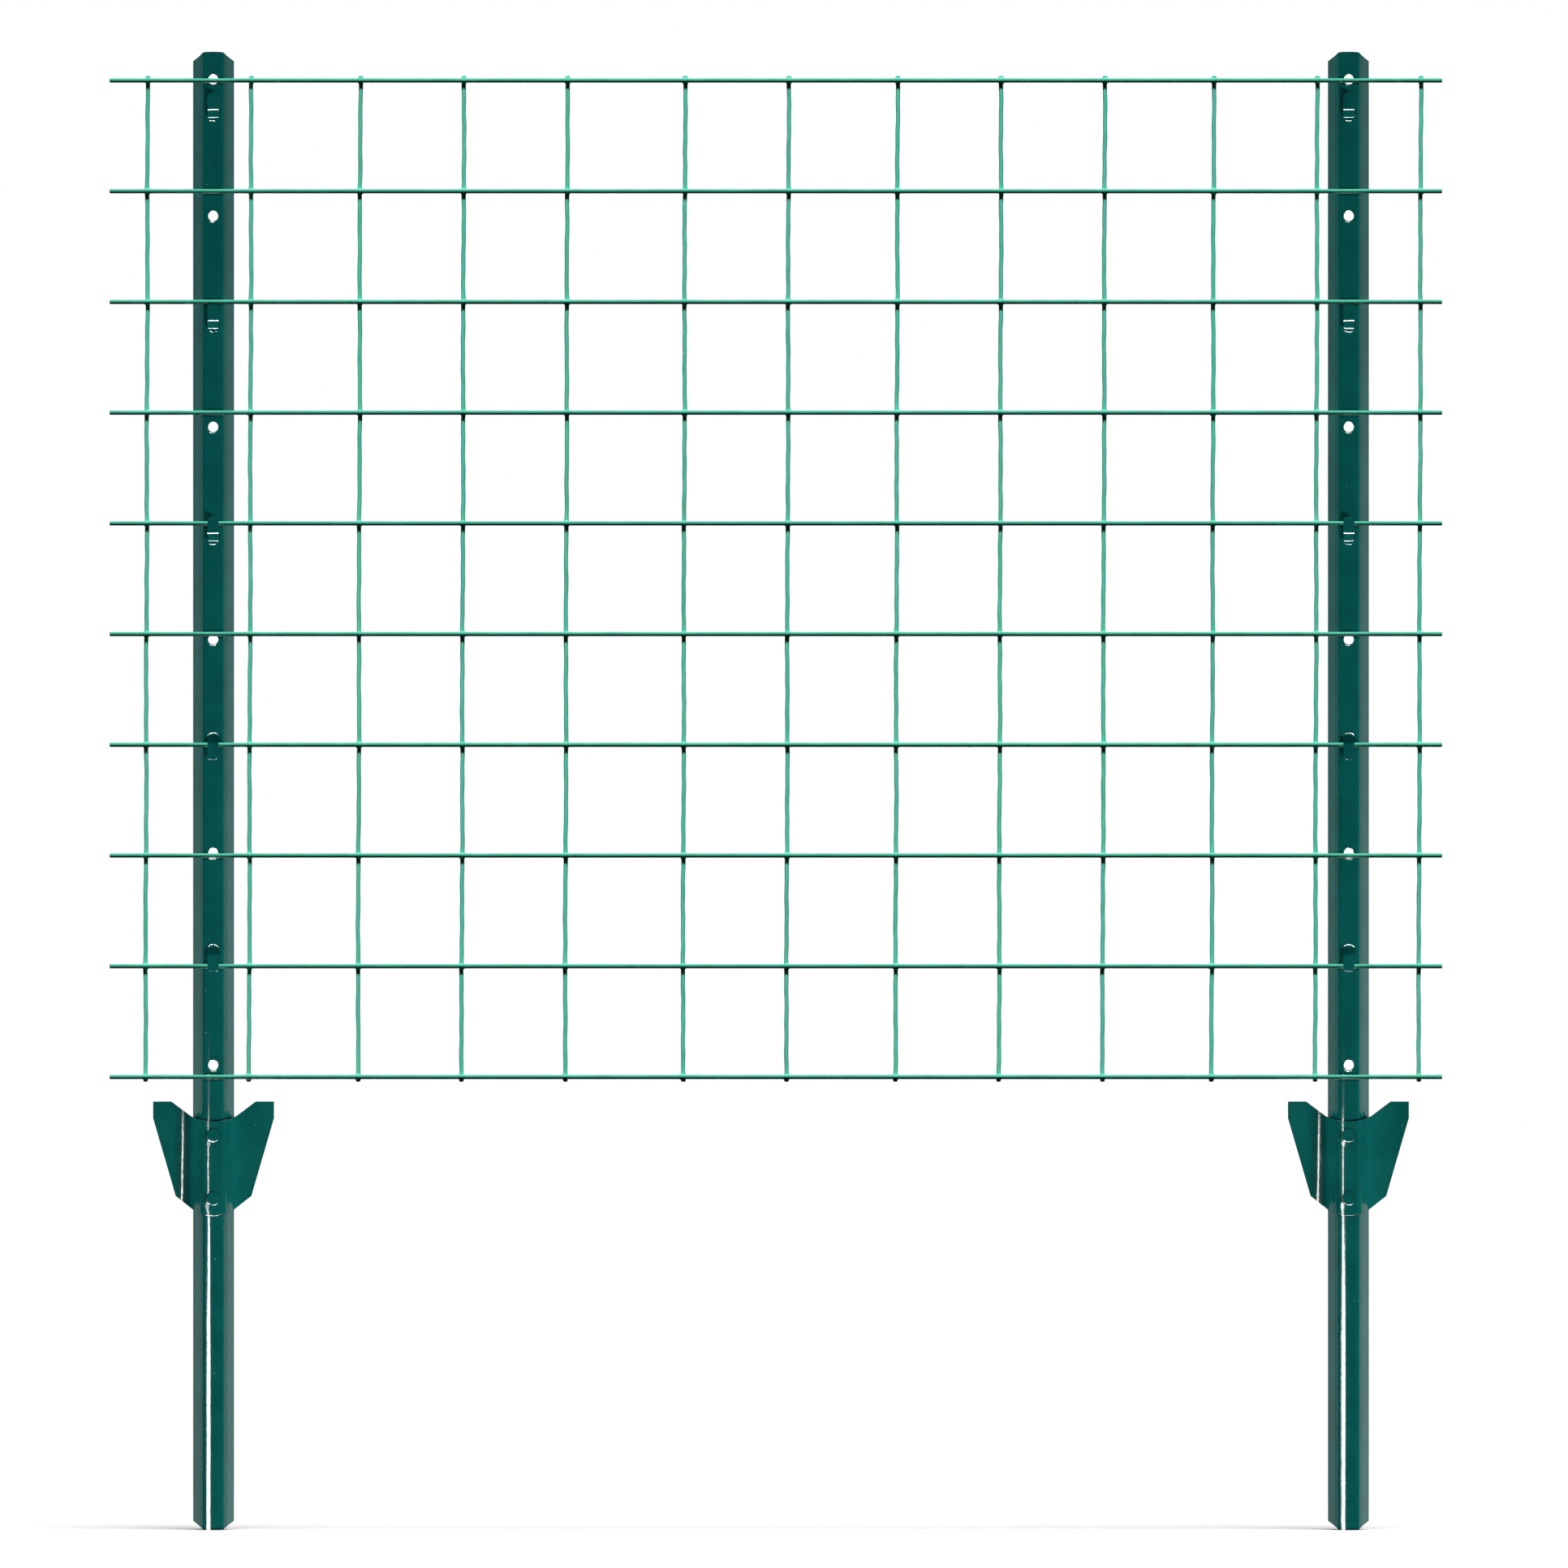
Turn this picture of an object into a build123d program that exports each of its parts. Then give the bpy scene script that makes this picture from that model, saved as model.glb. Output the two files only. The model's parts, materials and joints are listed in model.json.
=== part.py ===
from build123d import *
from math import cos, radians, sqrt, tan
import os

# A section of stock and garden fence: two rolled U-section posts that are driven into the
# ground, an anchor plate riveted low on each post, and a welded mesh of coated wire that
# hangs on hook tabs lanced out of the posts.
#
# Frame, in millimetres: X runs along the fence, Z is up, and the mesh hangs on the -Y side.
# The origin lies on the ground line, midway between the posts, in the plane of their fronts.

# ---------------------------------------------------------------- driving dimensions
# Mesh
line_count = 10  # horizontal wires
line_pitch = 91.3
bottom_line_height = 20.4  # lowest line wire above the ground
wire_diameter = 3.6  # steel core and its coat
stay_gap = 85.4  # normal spacing of the upright wires
stay_gap_wide = 89.9
stay_gap_middle = 97.1
stay_gaps = (
    stay_gap, stay_gap_wide, stay_gap, stay_gap, stay_gap_middle, stay_gap,
    stay_gap_wide, stay_gap, stay_gap, stay_gap_wide, stay_gap, stay_gap,
)  # from the left edge of the mesh to the right one
stay_stub = 4.0  # an upright wire past the outermost line wires' centres
left_tail = 30.5  # line wires past the first upright wire's centre
right_tail = 18.4  # line wires past the last upright wire's centre
weld_set_down = 0.3  # how far the two wires sink into each other at a weld

# Posts
post_sheet = 1.6
crown_width = 16.6  # front face, between its sharp corners
crown_lean = 8.0  # degrees; the front face is gently convex and leans back this far at its sides
crown_radius = 40.0  # of that convex face; its crest is the frame's y = 0
knee_width = 22.8
knee_depth = 9.0
flange_width = 33.8  # across the rear edges
flange_depth = 20.0
crown_bend = 3.0  # outer radius where the front face turns back
knee_bend = 6.0
end_rake = 7.4  # the ends lean back by this much from the front face to the rear edges
post_above_mesh = 23.8  # post top above the highest line wire's centre
buried_depth = 353.4
left_post_inset = 54.9  # post centre inside the mesh's first upright wire
right_post_inset = 58.6  # post centre inside the mesh's last upright wire

# Hook tabs: (line wire counted from the top, wire above the hook's middle, tip points up)
hook_rows = (
    (1, 20.4, True),
    (3, 11.8, True),
    (5, 4.5, True),
    (7, 2.1, False),
    (9, -5.8, False),
)
hook_width = 8.7
hook_length = 20.0  # root line to tip, as seen from the front
hook_ramp = 6.5  # length of the sloped stretch between root and tongue
hook_clearance = 0.3  # tongue to wire
hook_tip_radius = 3.2
hook_inner_bend = 1.2  # inner radius where the tab leaves the post and turns upright again
lance_gap = 0.25  # slit left by the punch on each side of a tab and past its tip

# Round holes
hole_diameter = 8.4
top_hole_drop = 22.9  # first hole below the post's top
hole_below_up_hook = 91.3  # hole below the middle of a hook whose tip points up
hole_below_down_hook = 87.4

# Anchor plates
plate_sheet = 1.8
plate_gap = 0.1  # plate to post, where it is wrapped round the front
plate_width = 99.8
plate_shoulder = 69.6  # width between the inner ends of the wings' top edges
plate_outer_edge = 13.7  # upright outer edge of a wing
plate_notch_depth = 12.0  # wing tops above the plate's edge beside the post
plate_notch_width = 37.6
plate_dip = 4.1  # the upper edge dips this much more over the front face
plate_taper_width = 62.6  # width where the long slanted edges end
plate_taper_height = 64.3  # length of the slanted edges, measured upright
plate_foot_width = 33.6
plate_foot_rise = 11.4  # from the slanted edges' ends down to the foot's corners
plate_belly = 4.6  # the lower edge hangs this much lower over the front face
wing_bend = 8.0  # rear radius where a wing leaves the post
wing_flare = 9.0  # degrees that a wing still leans back just past that bend
wing_sweep = 60.0  # radius of the gentle curve that brings it flat
wing_sweep_reach = 25.9  # sharp corner of that curve, from the post's middle

# Rivets
rivet_head_diameter = 11.3
rivet_head_height = 1.5
rivet_shank_diameter = 5.0
rivet_tail_diameter = 8.6
rivet_tail_height = 2.2
rivet_head_edge = 0.5  # rounding of the head's rim
rivet_tail_edge = 1.0
rivet_seat_margin = 0.3  # the plate is pressed flat this far beyond a head's rim
upper_rivet_depth = 27.8  # below the ground line
rivet_pitch = 52.1

# ---------------------------------------------------------------- derived places
wire_radius = wire_diameter / 2
crown_contact = 0.05  # the line wires lie against the posts, less this hair of space
line_y = -crown_contact - wire_radius
stay_y = line_y + wire_diameter - weld_set_down
mesh_width = sum(stay_gaps)
post_spacing = mesh_width - left_post_inset - right_post_inset
left_post_x = -post_spacing / 2
right_post_x = post_spacing / 2
first_stay_x = left_post_x - left_post_inset
stay_places = [first_stay_x + sum(stay_gaps[:i]) for i in range(len(stay_gaps) + 1)]
line_low_x = stay_places[0] - left_tail
line_high_x = stay_places[-1] + right_tail
top_line_height = bottom_line_height + (line_count - 1) * line_pitch
post_top = top_line_height + post_above_mesh
post_length = post_top + buried_depth
hook_gap = wire_diameter + crown_contact + hook_clearance  # front face to tongue


def line_height(number):
    """Height of a line wire's centre; number 1 is the highest."""
    return top_line_height - (number - 1) * line_pitch


hooks = [(line_height(n) - above, points_up) for n, above, points_up in hook_rows]
hole_heights = [post_top - top_hole_drop]
for hook_z, points_up in hooks:
    hole_heights.append(hook_z - (hole_below_up_hook if points_up else hole_below_down_hook))

rivet_heights = (-upper_rivet_depth, -upper_rivet_depth - rivet_pitch)

# The post's front outline, left to right, as sharp corners with a bend radius at each. The
# middle corner stands proud by as much as its large bend takes away.
crest_rise = crown_radius / cos(radians(crown_lean)) - crown_radius
crown_side_y = crown_width / 2 * tan(radians(crown_lean)) - crest_rise
post_corners = [
    (-flange_width / 2, flange_depth),
    (-knee_width / 2, knee_depth),
    (-crown_width / 2, crown_side_y),
    (0, -crest_rise),
    (crown_width / 2, crown_side_y),
    (knee_width / 2, knee_depth),
    (flange_width / 2, flange_depth),
]
post_bends = (knee_bend, crown_bend, crown_radius, crown_bend, knee_bend)


def crown_fall(reach, radius):
    """How far a convex face of this radius lies behind its crest, this far to one side."""
    return radius - sqrt(radius**2 - reach**2)


# Rivets sit on the crest: the plate's front is pressed flat under a head, and a tail rests
# on the hollow inside of the post.
plate_front = -plate_gap - plate_sheet
head_seat_y = plate_front + crown_fall(rivet_head_diameter / 2, crown_radius - plate_front)
tail_seat_y = post_sheet + crown_fall(rivet_tail_diameter / 2, crown_radius - post_sheet)


os.makedirs("parts", exist_ok=True)


def front_plane(x, y=0):
    """An upright plane that faces -Y; its own axes are the part's X and Z."""
    return Plane((x, y, 0), x_dir=(1, 0, 0), z_dir=(0, -1, 0))


def write(piece, name):
    """Label a finished piece and write its STEP file."""
    piece.part.label = name
    export_step(piece.part, f"parts/{name}.step")


# ---------------------------------------------------------------- hook tab
# A strip of the post's own sheet: root, S-bend outwards, then a flat tongue with a
# rounded tip. It is made pointing up, with its middle at the origin.
with BuildPart() as hook:
    with BuildSketch(Plane.YZ):
        with BuildLine():
            tongue_front = -(hook_gap + post_sheet)
            front = FilletPolyline(
                (tongue_front, hook_length / 2),
                (tongue_front, -hook_length / 2 + hook_ramp),
                (0, -hook_length / 2),
                (0, -hook_length / 2 - post_sheet),
                radius=(hook_inner_bend + post_sheet, hook_inner_bend),
            )
            offset(front, amount=post_sheet, side=Side.LEFT)
        make_face()
    extrude(amount=hook_width / 2, both=True)
    with BuildSketch(Plane.XZ) as tab_outline:
        tab_rise = hook_length + post_sheet
        with Locations((0, hook_length / 2 - tab_rise / 2)):
            Rectangle(hook_width, tab_rise)
        fillet(tab_outline.vertices().group_by(Axis.Z)[-1], hook_tip_radius)
    extrude(amount=2 * hook_gap + 2 * post_sheet, both=True, mode=Mode.INTERSECT)

# The window that such a tab leaves in the sheet, pointing up as well. Its square lower
# edge is the tab's root, so the slit runs round the sides and the tip only.
with BuildSketch() as window:
    with Locations((0, lance_gap / 2)):
        Rectangle(hook_width + 2 * lance_gap, hook_length + lance_gap)
    fillet(window.vertices().group_by(Axis.Y)[-1], hook_tip_radius + lance_gap)


# ---------------------------------------------------------------- posts
def make_post(name, post_x):
    """One rolled post with its lanced hooks, punched holes and rivet holes."""
    with BuildPart() as post:
        with BuildSketch(Plane((post_x, 0, -buried_depth))):
            with BuildLine():
                outline = FilletPolyline(*post_corners, radius=post_bends)
                offset(outline, amount=post_sheet, side=Side.LEFT)
            make_face()
        extrude(amount=post_length)

        # Both ends are sheared at a rake, so that the front face leads.
        with BuildSketch(Plane.YZ.offset(post_x)):
            beyond = flange_depth * 2
            drop = end_rake * 2
            for end_z, inwards in ((post_top, -drop), (-buried_depth, drop)):
                with BuildLine():
                    Polyline((0, end_z), (beyond, end_z), (beyond, end_z + inwards), close=True)
                make_face()
        extrude(amount=flange_width, both=True, mode=Mode.SUBTRACT)

        with BuildSketch(front_plane(post_x)):
            for hook_z, points_up in hooks:
                with Locations(Location((0, hook_z), 0 if points_up else 180)):
                    add(window.sketch)
            with Locations([(0, z) for z in hole_heights]):
                Circle(hole_diameter / 2)
            with Locations([(0, z) for z in rivet_heights]):
                Circle(rivet_shank_diameter / 2)
        extrude(amount=-2 * post_sheet, mode=Mode.SUBTRACT)

        for hook_z, points_up in hooks:
            with Locations(Location((post_x, 0, hook_z), (0, 0 if points_up else 180, 0))):
                add(hook.part)
    write(post, name)


make_post("post_left", left_post_x)
make_post("post_right", right_post_x)


# ---------------------------------------------------------------- anchor plates
# The line that the plate is wrapped on: a wing, the post's front outline, a wing. It leaves
# the post's flank a little before the rear edge and then sweeps out flat.
flank_slope = (flange_width - knee_width) / 2 / (flange_depth - knee_depth)
flare_slope = tan(radians(wing_flare))
leaving_back = (wing_sweep_reach - flange_width / 2) * flare_slope / (1 - flank_slope * flare_slope)
leaving_y = flange_depth - leaving_back
leaving_x = flange_width / 2 - leaving_back * flank_slope
plate_corners = [
    (-plate_width / 2, flange_depth),
    (-wing_sweep_reach, flange_depth),
    (-leaving_x, leaving_y),
    *post_corners[1:-1],
    (leaving_x, leaving_y),
    (wing_sweep_reach, flange_depth),
    (plate_width / 2, flange_depth),
]
plate_bends = (wing_sweep, wing_bend, *post_bends, wing_bend, wing_sweep)


def make_plate(name, post_x):
    """One spade plate, wrapped round the post's front and flaring into two wings."""
    belly_z = -(plate_outer_edge + plate_taper_height + plate_foot_rise + plate_belly)
    notch_z = -plate_notch_depth
    taper_z = -plate_outer_edge - plate_taper_height
    foot_z = taper_z - plate_foot_rise
    with BuildPart() as plate:
        with BuildSketch(Plane((post_x, 0, belly_z))):
            for reach, mode in (
                (plate_gap + plate_sheet, Mode.ADD),
                (plate_gap, Mode.SUBTRACT),
            ):
                with BuildLine():
                    rear = FilletPolyline(*plate_corners, radius=plate_bends)
                    offset(rear, amount=reach, side=Side.RIGHT)
                make_face(mode=mode)
        extrude(amount=-belly_z)
        with BuildSketch(front_plane(post_x)):
            with BuildLine():
                ThreePointArc(
                    (-plate_notch_width / 2, notch_z),
                    (0, notch_z - plate_dip),
                    (plate_notch_width / 2, notch_z),
                )
                Polyline(
                    (plate_notch_width / 2, notch_z),
                    (plate_shoulder / 2, 0),
                    (plate_width / 2, 0),
                    (plate_width / 2, -plate_outer_edge),
                    (plate_taper_width / 2, taper_z),
                    (plate_foot_width / 2, foot_z),
                )
                ThreePointArc(
                    (plate_foot_width / 2, foot_z),
                    (0, belly_z),
                    (-plate_foot_width / 2, foot_z),
                )
                Polyline(
                    (-plate_foot_width / 2, foot_z),
                    (-plate_taper_width / 2, taper_z),
                    (-plate_width / 2, -plate_outer_edge),
                    (-plate_width / 2, 0),
                    (-plate_shoulder / 2, 0),
                    (-plate_notch_width / 2, notch_z),
                )
            make_face()
        extrude(amount=2 * flange_depth, both=True, mode=Mode.INTERSECT)
        with BuildSketch(front_plane(post_x)):
            with Locations([(0, z) for z in rivet_heights]):
                Circle(rivet_shank_diameter / 2)
        extrude(amount=flange_depth, both=True, mode=Mode.SUBTRACT)
        with BuildSketch(front_plane(post_x, head_seat_y)):
            with Locations([(0, z) for z in rivet_heights]):
                Circle(rivet_head_diameter / 2 + rivet_seat_margin)
        extrude(amount=plate_sheet, mode=Mode.SUBTRACT)
    write(plate, name)


make_plate("anchor_plate_left", left_post_x)
make_plate("anchor_plate_right", right_post_x)


# ---------------------------------------------------------------- rivets
def make_rivet(name, post_x, rivet_z):
    """A low flat head on the plate, a shank through both sheets, and a set tail inside."""
    with BuildPart() as rivet:
        with BuildSketch(front_plane(post_x, head_seat_y)):
            with Locations((0, rivet_z)):
                Circle(rivet_head_diameter / 2)
        extrude(amount=rivet_head_height)
        fillet(rivet.edges().group_by(Axis.Y)[0], rivet_head_edge)
        with BuildSketch(front_plane(post_x, head_seat_y)):
            with Locations((0, rivet_z)):
                Circle(rivet_shank_diameter / 2)
        extrude(amount=head_seat_y - tail_seat_y)
        with BuildSketch(front_plane(post_x, tail_seat_y)):
            with Locations((0, rivet_z)):
                Circle(rivet_tail_diameter / 2)
        extrude(amount=-rivet_tail_height)
        fillet(rivet.edges().group_by(Axis.Y)[-1], rivet_tail_edge)
    write(rivet, name)


for side, post_x in (("left", left_post_x), ("right", right_post_x)):
    for place, rivet_z in zip(("upper", "lower"), rivet_heights):
        make_rivet(f"rivet_{place}_{side}", post_x, rivet_z)


# ---------------------------------------------------------------- mesh wires
for number in range(1, line_count + 1):
    with BuildPart() as line_wire:
        with BuildSketch(Plane.YZ.offset(line_low_x)):
            with Locations((line_y, line_height(number))):
                Circle(wire_radius)
        extrude(amount=line_high_x - line_low_x)
    write(line_wire, f"line_wire_{number:02d}")

for number, stay_x in enumerate(stay_places, 1):
    with BuildPart() as stay_wire:
        with BuildSketch(Plane.XY.offset(bottom_line_height - stay_stub)):
            with Locations((stay_x, stay_y)):
                Circle(wire_radius)
        extrude(amount=top_line_height - bottom_line_height + 2 * stay_stub)
    write(stay_wire, f"stay_wire_{number:02d}")
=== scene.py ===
import json
import math

import bpy
import numpy as np
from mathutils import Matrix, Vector

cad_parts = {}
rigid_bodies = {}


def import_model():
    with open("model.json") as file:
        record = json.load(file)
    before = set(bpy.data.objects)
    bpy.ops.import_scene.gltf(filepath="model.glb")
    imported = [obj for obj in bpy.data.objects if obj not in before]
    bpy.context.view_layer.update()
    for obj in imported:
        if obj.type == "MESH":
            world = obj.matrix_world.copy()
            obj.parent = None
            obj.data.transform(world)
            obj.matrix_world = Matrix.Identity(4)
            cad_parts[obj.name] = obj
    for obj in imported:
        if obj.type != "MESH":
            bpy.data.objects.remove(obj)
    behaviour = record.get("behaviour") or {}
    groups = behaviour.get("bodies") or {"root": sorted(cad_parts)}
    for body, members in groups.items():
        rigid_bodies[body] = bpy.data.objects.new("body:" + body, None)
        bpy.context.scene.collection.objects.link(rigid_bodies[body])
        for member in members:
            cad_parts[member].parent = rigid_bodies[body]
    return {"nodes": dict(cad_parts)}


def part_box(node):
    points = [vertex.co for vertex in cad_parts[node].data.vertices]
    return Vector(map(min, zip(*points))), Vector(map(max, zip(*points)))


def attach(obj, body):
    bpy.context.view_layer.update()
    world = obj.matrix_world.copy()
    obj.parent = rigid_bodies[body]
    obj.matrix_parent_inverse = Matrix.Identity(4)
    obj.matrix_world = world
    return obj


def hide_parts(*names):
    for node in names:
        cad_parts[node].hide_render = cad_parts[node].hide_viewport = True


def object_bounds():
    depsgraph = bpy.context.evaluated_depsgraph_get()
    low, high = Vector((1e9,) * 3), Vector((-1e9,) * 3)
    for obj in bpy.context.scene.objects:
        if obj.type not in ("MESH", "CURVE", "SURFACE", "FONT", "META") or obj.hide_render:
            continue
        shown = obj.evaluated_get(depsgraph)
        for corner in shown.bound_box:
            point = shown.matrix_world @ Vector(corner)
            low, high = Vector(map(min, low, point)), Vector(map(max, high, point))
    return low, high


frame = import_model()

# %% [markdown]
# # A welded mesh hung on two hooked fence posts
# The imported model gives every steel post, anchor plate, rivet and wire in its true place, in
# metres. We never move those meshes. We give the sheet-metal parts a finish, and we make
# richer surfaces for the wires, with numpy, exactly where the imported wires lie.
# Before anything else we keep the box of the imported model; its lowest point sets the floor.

MM = 0.001
packed_low, packed_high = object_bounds()
nodes = frame["nodes"]
post_names = sorted(n for n in nodes if n.startswith("post_"))
plate_names = sorted(n for n in nodes if n.startswith("anchor_plate_"))
rivet_names = sorted(n for n in nodes if n.startswith("rivet_"))
line_names = sorted(n for n in nodes if n.startswith("line_wire_"))
stay_names = sorted(n for n in nodes if n.startswith("stay_wire_"))
print(len(post_names), "posts,", len(plate_names), "plates,", len(rivet_names), "rivets,",
      len(line_names), "line wires,", len(stay_names), "stay wires")


def node_middle(name):
    """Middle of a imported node's box."""
    low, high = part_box(name)
    return (low + high) / 2


# %% [markdown]
# ## Camera
# A fence section is shown flat on, as in a catalogue, so both posts should look the same.
# A very long lens, far away, does that: its rays are nearly parallel. An orthographic camera
# would do it too, but a long lens keeps a trace of real depth when we walk round the section.
# The lens, the sensor and the width that we want in view give the distance.

# %% Camera, flat on to the mesh
scene = bpy.context.scene
view_width = 1.2931
view_middle = Vector((0.0025, 0.0, 0.2620))
camera_data = bpy.data.cameras.new("camera")
camera_data.lens = 800
camera_data.sensor_width = 36
camera_distance = view_width * camera_data.lens / camera_data.sensor_width
camera_data.clip_end = 2 * camera_distance
camera = bpy.data.objects.new("camera", camera_data)
camera.location = view_middle + Vector((0, -camera_distance, 0))
camera.rotation_euler = (math.radians(90), 0, 0)
scene.collection.objects.link(camera)
scene.camera = camera
print("camera stands", round(camera_distance, 2), "m away")

# %% [markdown]
# ## Groups for the lights
# Blender's light linking lets a lamp shine on chosen things only. Glossy dark steel and round
# bright wires want different lamps: a lamp that shows off the wires would grey the enamel.
# So each kind of piece goes in a group of its own, and a lamp names the groups that it serves.

# %% Groups that a lamp may serve
groups = {name: bpy.data.collections.new("lit_" + name)
          for name in ("metal_left", "metal_right", "line_wires", "stay_wires", "floor")}
sheet_metal = ("metal_left", "metal_right")
for name in post_names + plate_names + rivet_names:
    groups["metal_" + name.split("_")[-1]].objects.link(nodes[name])


def joined_group(*names):
    """One collection that holds the objects of several groups, for a lamp's settings."""
    label = "lit_" + "_and_".join(names)
    joined = bpy.data.collections.get(label) or bpy.data.collections.new(label)
    for name in names:
        if joined.name != groups[name].name and groups[name].name not in joined.children:
            joined.children.link(groups[name])
    return joined


# %% [markdown]
# ## Node helper
# Materials are built from nodes. Writing each link by hand hides the idea, so this helper
# makes a node, sets its values and plugs its inputs in one call.

# %% A short way to add a node


def add_node(tree, kind, values=None, links=None, **settings):
    """Makes a node. values fill its input sockets, links plug other nodes' sockets into them."""
    node = tree.nodes.new(kind)
    for key, value in settings.items():
        setattr(node, key, value)
    for key, value in (values or {}).items():
        node.inputs[key].default_value = value
    for key, socket in (links or {}).items():
        tree.links.new(socket, node.inputs[key])
    return node


def math_node(tree, operation, a, b=0.5, clamp=False):
    """A Math node on two numbers or sockets; gives back its output."""
    node = add_node(tree, "ShaderNodeMath", operation=operation, use_clamp=clamp)
    for socket, value in zip(node.inputs, (a, b)):
        if isinstance(value, (int, float)):
            socket.default_value = value
        else:
            tree.links.new(value, socket)
    return node.outputs[0]


def mix_colour(tree, share, a, b):
    """A colour between a and b; each is a colour or a socket."""
    node = add_node(tree, "ShaderNodeMix", data_type="RGBA")
    for socket, value in ((node.inputs[0], share), (node.inputs[6], a), (node.inputs[7], b)):
        if hasattr(value, "links"):
            tree.links.new(value, socket)
        else:
            socket.default_value = value
    return node.outputs[2]


def new_material(name):
    """An empty node material with its surface shader; gives (material, tree, shader)."""
    material = bpy.data.materials.new(name)
    material.use_nodes = True
    tree = material.node_tree
    return material, tree, tree.nodes["Principled BSDF"]


# %% [markdown]
# ## Floor
# The section stands on a plain pale floor, at the level of the posts' lower ends. It is one
# large quad, because the camera is far away. It doesn't throw light back: in a studio a
# black cloth under the section does that job, and keeps the undersides of the wires dark.

# %% Floor
floor_half = 120.0
floor_level = packed_low.z
floor_mesh = bpy.data.meshes.new("floor")
corners = np.array([(-1, -1), (1, -1), (1, 1), (-1, 1)], float) * floor_half
floor_mesh.from_pydata([(x, y, floor_level) for x, y in corners], [], [(0, 1, 2, 3)])
floor = bpy.data.objects.new("floor", floor_mesh)
scene.collection.objects.link(floor)
floor.visible_diffuse = False
floor.visible_glossy = False
floor_paint, floor_tree, floor_shader = new_material("floor_paper")
floor_shader.inputs["Base Color"].default_value = (0.86, 0.86, 0.85, 1)
floor_shader.inputs["Roughness"].default_value = 1.0
floor_shader.inputs["Specular IOR Level"].default_value = 0.0
floor_mesh.materials.append(floor_paint)
groups["floor"].objects.link(floor)
print("floor at", round(floor_level, 4), "m")

# %% [markdown]
# ## World
# What the camera sees round the section is plain white. What a glossy surface sees is a
# different matter: a dark room in front, so that the enamel's face stays deep and clear.
# The Light Path node tells camera rays from all others, so the world can be both.

# %% World: white to look at, dark to reflect
world = bpy.data.worlds.new("studio")
scene.world = world
world.use_nodes = True
tree = world.node_tree
tree.nodes.clear()
path = add_node(tree, "ShaderNodeLightPath")
seen = add_node(tree, "ShaderNodeBackground", {"Color": (1, 1, 1, 1), "Strength": 1.0})
room = add_node(tree, "ShaderNodeBackground", {"Color": (0.9, 1.0, 0.97, 1), "Strength": 0.008})
chosen = add_node(tree, "ShaderNodeMixShader",
                  links={0: path.outputs["Is Camera Ray"], 1: room.outputs[0], 2: seen.outputs[0]})
add_node(tree, "ShaderNodeOutputWorld", links={"Surface": chosen.outputs[0]})
scene.view_settings.view_transform = "Standard"
scene.view_settings.look = "None"

# %% [markdown]
# ## Lamps
# Soft boxes and suns, as in a studio. A soft box is described by where it stands, what it
# looks at, its size and how bright its face is. Blender asks for its power in watts, which is
# brightness x area x pi. A sun is described by the direction that it shines from.
# A lamp that may light a surface but not be mirrored in it has its glossy visibility off.

# %% Soft boxes and suns


def place_lamp(name, data, lights, blocked_by, mirrored):
    """Puts a lamp in the scene and says which groups it lights and which ones shade it."""
    lamp = bpy.data.objects.new(name, data)
    lamp.visible_camera = False
    lamp.visible_glossy = mirrored
    scene.collection.objects.link(lamp)
    lamp.light_linking.receiver_collection = joined_group(*lights)
    if blocked_by:
        lamp.light_linking.blocker_collection = joined_group(*blocked_by)
    return lamp


def soft_box(name, place, look_at, size, brightness, lights, blocked_by=None, mirrored=True,
             lighting=True):
    """A rectangular lamp whose face has the given brightness. With lighting off, it shows in
    reflections only."""
    data = bpy.data.lights.new(name, "AREA")
    data.shape = "RECTANGLE"
    data.size, data.size_y = size
    data.energy = brightness * size[0] * size[1] * math.pi
    lamp = place_lamp(name, data, lights, blocked_by, mirrored)
    lamp.visible_diffuse = lighting
    lamp.location = place
    lamp.rotation_euler = (Vector(look_at) - Vector(place)).to_track_quat("-Z", "Y").to_euler()
    return lamp


def sun_from(name, direction, strength, spread, lights, blocked_by=None, mirrored=True):
    """A sun that shines from a direction; spread is its width in the sky, in degrees."""
    data = bpy.data.lights.new(name, "SUN")
    data.energy = strength
    data.angle = math.radians(spread)
    lamp = place_lamp(name, data, lights, blocked_by, mirrored)
    lamp.rotation_euler = Vector(direction).to_track_quat("Z", "Y").to_euler()
    return lamp


# %% [markdown]
# Each post gets the same lamps, so both look alike. Two large soft boxes stand low in front,
# the stronger one to the right, so the bend at the left of each front face stays dark. Being
# low, they light the lower part a little more. Two suns graze the front faces and light the
# flanks.
# Flat on, an upright surface mirrors only what stands at its own height. So narrow upright
# strips near the camera's line draw the white lines: a wide one below the plate, a thin one
# on the plate, and a hair above it that the enamel's skin breaks into dots. Last, a small and
# very bright lamp that shows in reflections only puts sparks on rims, beads and bends.

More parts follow.
